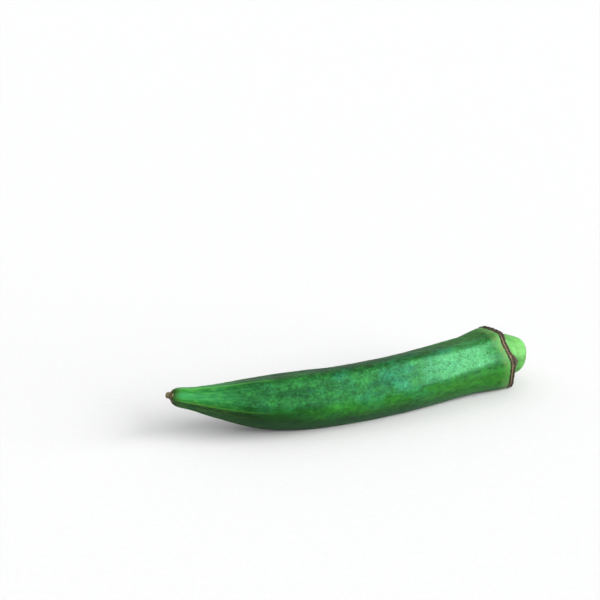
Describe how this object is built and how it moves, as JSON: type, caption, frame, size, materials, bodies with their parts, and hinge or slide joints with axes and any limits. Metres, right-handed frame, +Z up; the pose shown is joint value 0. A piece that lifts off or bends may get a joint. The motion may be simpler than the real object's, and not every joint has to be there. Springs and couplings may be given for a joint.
{
  "type": "okra_pod",
  "caption": "Ridged okra pod with a tapering beak, a calyx scar and a cut stalk stub, lying on its belly.",
  "frame": {"origin": "Middle of the flat spot on the belly, on the surface that the pod lies on.", "axes": "+X runs along the pod from the dried tip to the cut stalk, +Z is up from the surface, and the pod bows towards -Y."},
  "size_m": [0.138, 0.0312, 0.0228],
  "materials": {
    "okra_skin": "satin",
    "calyx_scar": "matte",
    "cap_and_stub": "satin",
    "dried_style": "matte"
  },
  "bodies": {
    "root": {"okra_pod": "okra_skin"}
  },
  "joints": []
}
